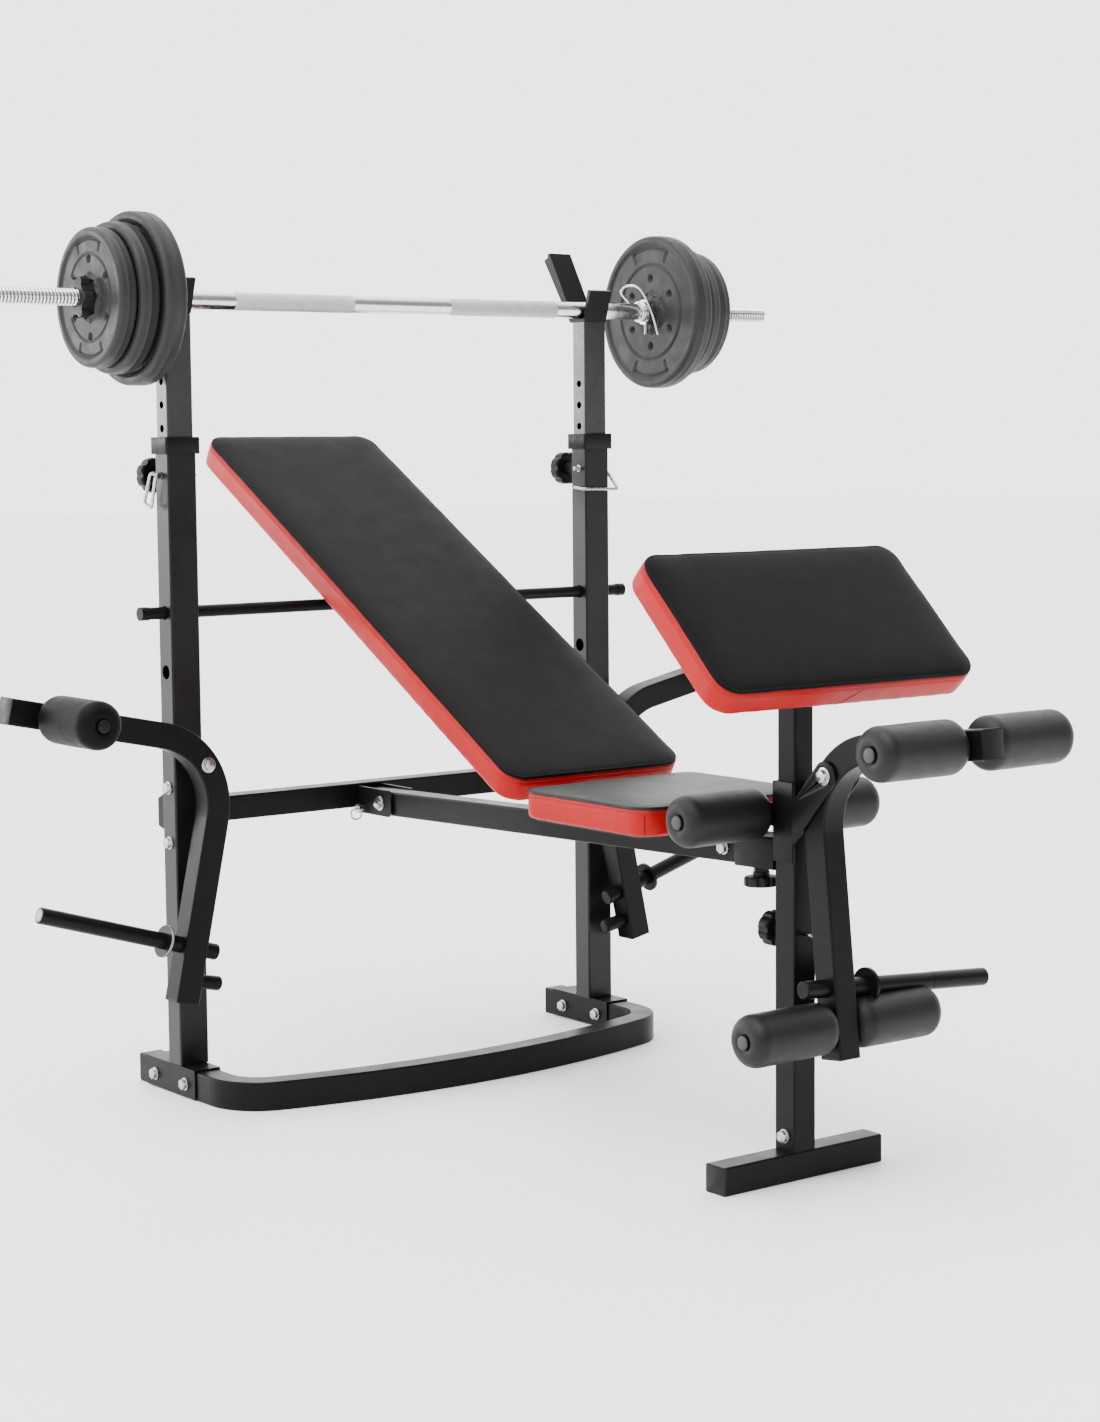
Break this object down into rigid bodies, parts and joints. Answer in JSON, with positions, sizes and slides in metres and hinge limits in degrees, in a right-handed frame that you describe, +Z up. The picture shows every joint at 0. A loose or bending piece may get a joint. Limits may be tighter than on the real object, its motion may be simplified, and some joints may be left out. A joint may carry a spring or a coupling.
{
  "type": "weight bench press",
  "caption": "Multi-function weight bench: racked barbell on sliding masts, reclining back pad, seat, curl pad, leg lever with foam rollers and two swinging arms.",
  "frame": {"origin": "on the floor, under the middle of the base's front crosspiece", "axes": "+X across the bench, +Y from the foot end to the head end, +Z up"},
  "size_m": [1.57, 1.6865, 1.3673],
  "materials": {
    "black_paint": "satin black powder coat",
    "chrome": "bright zinc and chrome plate",
    "pad_leather": "black synthetic leather with red side bands",
    "pad_board": "raw board with dust cloth",
    "foam": "matte closed-cell foam",
    "black_plastic": "moulded black plastic",
    "grey_vinyl": "matte grey vinyl shell"
  },
  "bodies": {
    "frame": {"base_u_tube": "black_paint", "tube_end_caps": "black_plastic", "saddles": "black_paint", "frame_bolts": "chrome", "left_upright": "black_paint", "right_upright": "black_paint", "mast_collars": "black_plastic", "cross_member": "black_paint", "fold_bracket": "black_paint", "main_beam": "black_paint", "hinge_lugs": "black_paint", "front_post": "black_paint", "t_foot": "black_paint", "post_brackets": "black_paint", "bench_bolts": "chrome", "pivot_bolts": "chrome", "knee_rod": "black_paint", "knee_rollers": "foam", "weld_nuts": "black_paint", "seat_pad": "pad_leather", "seat_board": "pad_board", "seat_brackets": "black_paint"},
    "left_mast_body": {"left_mast": "black_paint", "left_crutch": "black_paint"},
    "right_mast_body": {"right_mast": "black_paint", "right_crutch": "black_paint"},
    "barbell": {"bar": "chrome", "large_discs": "grey_vinyl", "medium_discs": "grey_vinyl", "small_discs": "grey_vinyl", "star_collars": "black_plastic", "inner_collars": "chrome"},
    "backrest": {"backrest_pad": "pad_leather", "backrest_board": "pad_board", "backrest_rails": "black_paint", "hinge_bolt": "chrome"},
    "back_support": {"support_rod": "black_paint"},
    "preacher": {"preacher_pad": "pad_leather", "preacher_board": "pad_board", "preacher_post": "black_paint"},
    "lever": {"leg_lever": "black_paint", "lever_caps": "black_plastic", "lever_rods": "black_paint", "lever_rollers": "foam", "lever_peg": "black_paint"},
    "left_arm_body": {"left_arm": "black_paint", "left_arm_caps": "black_plastic", "left_arm_peg": "black_paint", "left_arm_roller": "foam"},
    "right_arm_body": {"right_arm": "black_paint", "right_arm_caps": "black_plastic", "right_arm_peg": "black_paint", "right_arm_roller": "foam"},
    "left_knob_body": {"left_mast_knob": "black_plastic"},
    "right_knob_body": {"right_mast_knob": "black_plastic"},
    "preacher_knob_body": {"preacher_knob": "black_plastic"},
    "beam_knob_body": {"beam_knob": "black_plastic"},
    "left_pin_body": {"left_lock_pin": "chrome"},
    "right_pin_body": {"right_lock_pin": "chrome"},
    "fold_pin_body": {"fold_pin": "chrome"}
  },
  "joints": [
    {"name": "left_mast_slide", "type": "slide", "parent": "frame", "child": "left_mast_body", "axis": [0, 0, 1], "range_m": [-0.108, 0.072]},
    {"name": "right_mast_slide", "type": "slide", "parent": "frame", "child": "right_mast_body", "axis": [0, 0, 1], "range_m": [-0.108, 0.072]},
    {"name": "barbell_lift", "type": "slide", "parent": "left_mast_body", "child": "barbell", "axis": [0, 0, 1], "range_m": [0, 0.25]},
    {"name": "backrest_hinge", "type": "hinge", "parent": "frame", "child": "backrest", "pos_m": [0, -0.25268, 0.49909], "axis": [1, 0, 0], "range_deg": [0, 15]},
    {"name": "support_rod_pull", "type": "slide", "parent": "frame", "child": "back_support", "axis": [-1, 0, 0], "range_m": [0, 0.95]},
    {"name": "preacher_slide", "type": "slide", "parent": "frame", "child": "preacher", "axis": [0, 0, 1], "range_m": [0, 0.12]},
    {"name": "leg_lever_hinge", "type": "hinge", "parent": "frame", "child": "lever", "pos_m": [0, -0.827, 0.568], "axis": [-1, 0, 0], "range_deg": [0, 36]},
    {"name": "left_arm_hinge", "type": "hinge", "parent": "frame", "child": "left_arm_body", "pos_m": [-0.4053, 0.163, 0.526], "axis": [0, 1, 0], "range_deg": [0, 75]},
    {"name": "right_arm_hinge", "type": "hinge", "parent": "frame", "child": "right_arm_body", "pos_m": [0.4053, 0.163, 0.526], "axis": [0, -1, 0], "range_deg": [0, 75]},
    {"name": "left_mast_knob_turn", "type": "hinge", "parent": "frame", "child": "left_knob_body", "pos_m": [-0.4053, 0.263, 0.968], "axis": [0, 1, 0], "continuous": true},
    {"name": "right_mast_knob_turn", "type": "hinge", "parent": "frame", "child": "right_knob_body", "pos_m": [0.4053, 0.263, 0.968], "axis": [0, 1, 0], "continuous": true},
    {"name": "preacher_knob_turn", "type": "hinge", "parent": "frame", "child": "preacher_knob_body", "pos_m": [0, -0.7045, 0.343], "axis": [0, 1, 0], "continuous": true},
    {"name": "beam_knob_turn", "type": "hinge", "parent": "frame", "child": "beam_knob_body", "pos_m": [0, -0.67449, 0.41955], "axis": [0, -0.029, -0.9996], "continuous": true},
    {"name": "left_lock_pin_pull", "type": "slide", "parent": "frame", "child": "left_pin_body", "axis": [-1, 0, 0], "range_m": [0, 0.07]},
    {"name": "right_bail_swing", "type": "hinge", "parent": "frame", "child": "right_pin_body", "pos_m": [0.4353, 0.223, 0.968], "axis": [-1, 0, 0], "range_deg": [0, 90]},
    {"name": "fold_pin_pull", "type": "slide", "parent": "frame", "child": "fold_pin_body", "axis": [-1, 0, 0], "range_m": [0, 0.05]}
  ],
  "couplings": [
    {"joint": "right_mast_slide", "follows": "left_mast_slide", "ratio": 1}
  ]
}
